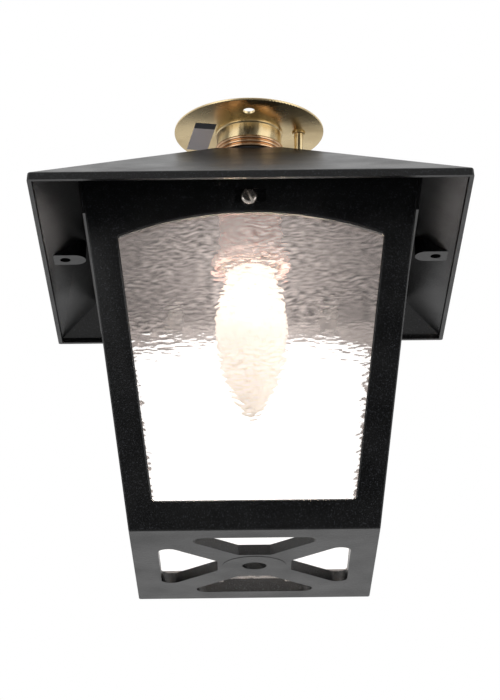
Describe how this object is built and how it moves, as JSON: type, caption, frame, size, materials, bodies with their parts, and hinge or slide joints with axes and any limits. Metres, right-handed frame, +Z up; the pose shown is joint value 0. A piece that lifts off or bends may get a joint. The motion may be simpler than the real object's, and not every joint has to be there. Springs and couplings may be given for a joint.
{
  "type": "porch ceiling lantern",
  "caption": "Square tapered porch lantern with arched rippled-glass sides, pyramid roof and pierced base, hung from a round brass ceiling plate.",
  "frame": {"origin": "centre of the ceiling plate's upper face, which meets the ceiling", "axes": "+Z up out of the plate into the ceiling; -Y is the front side with the pictured screw; +X to the right seen from the front"},
  "size_m": [0.2038, 0.2038, 0.2272],
  "materials": {
    "polished_brass": "polished and lacquered brass",
    "copper_ring": "machined, copper-toned lock ring",
    "paper": "matt paper, bare",
    "zinc_steel": "bright zinc-plated steel",
    "nickel_screw": "nickel-plated screw",
    "rubber_gasket": "black rubber",
    "black_casting": "fine-textured black powder coat on cast aluminium",
    "rippled_glass": "clear glass with a hammered, rippled face",
    "holder_brass": "satin brass lampholder",
    "porcelain": "glazed white porcelain",
    "contact_brass": "bare brass contacts",
    "lamp_solder": "tinned contact",
    "black_insulator": "black glass insulator",
    "lamp_cap_metal": "bright aluminium lamp cap",
    "lamp_glass": "clear lamp glass, lit",
    "tungsten": "tungsten and nickel wire"
  },
  "bodies": {
    "ceiling_mount": {"ceiling_plate": "polished_brass", "paper_label": "paper", "earth_pillar": "polished_brass", "earth_washer": "zinc_steel", "earth_screw": "zinc_steel", "neck": "polished_brass", "nipple": "zinc_steel", "nipple_nuts": "zinc_steel", "holder_cap": "holder_brass", "holder_core": "porcelain", "holder_skirt": "holder_brass", "holder_screw_shell": "contact_brass", "holder_centre_contact": "contact_brass", "holder_terminal_screws": "contact_brass"},
    "upper_ring": {"upper_lock_ring": "copper_ring"},
    "lower_ring": {"lower_lock_ring": "polished_brass"},
    "roof_cover": {"roof": "black_casting", "roof_gasket": "rubber_gasket"},
    "lantern": {"lantern_body": "black_casting", "glass_front": "rippled_glass", "glass_right": "rippled_glass", "glass_rear": "rippled_glass", "glass_left": "rippled_glass", "glass_clips": "zinc_steel", "clip_screws": "zinc_steel", "clamp_bars": "zinc_steel"},
    "front_screw": {"body_screw_front": "nickel_screw"},
    "rear_screw": {"body_screw_rear": "nickel_screw"},
    "lamp": {"lamp_tip_contact": "lamp_solder", "lamp_cap_insulator": "black_insulator", "lamp_cap": "lamp_cap_metal", "lamp_envelope": "lamp_glass", "lamp_stem": "lamp_glass", "lamp_filament": "tungsten", "lamp_leads": "tungsten"}
  },
  "joints": [
    {"name": "upper_ring_turn", "type": "hinge", "parent": "ceiling_mount", "child": "upper_ring", "pos_m": [0, 0, -0.0129], "axis": [0, 0, 1], "continuous": true},
    {"name": "lower_ring_turn", "type": "hinge", "parent": "ceiling_mount", "child": "lower_ring", "pos_m": [0, 0, -0.0221], "axis": [0, 0, 1], "continuous": true},
    {"name": "roof_swivel", "type": "hinge", "parent": "ceiling_mount", "child": "roof_cover", "pos_m": [0, 0, -0.0185], "axis": [0, 0, 1], "continuous": true},
    {"name": "body_drop", "type": "slide", "parent": "roof_cover", "child": "lantern", "axis": [0, 0, -1], "range_m": [0, 0.16]},
    {"name": "front_screw_turn", "type": "hinge", "parent": "lantern", "child": "front_screw", "pos_m": [-0.0008, -0.07765, -0.0723], "axis": [0, -0.9909, -0.1348], "continuous": true},
    {"name": "rear_screw_turn", "type": "hinge", "parent": "lantern", "child": "rear_screw", "pos_m": [0.0008, 0.07765, -0.0723], "axis": [0, 0.9909, -0.1348], "continuous": true},
    {"name": "lamp_withdraw", "type": "slide", "parent": "ceiling_mount", "child": "lamp", "axis": [0, 0, -1], "range_m": [0, 0.028]}
  ]
}
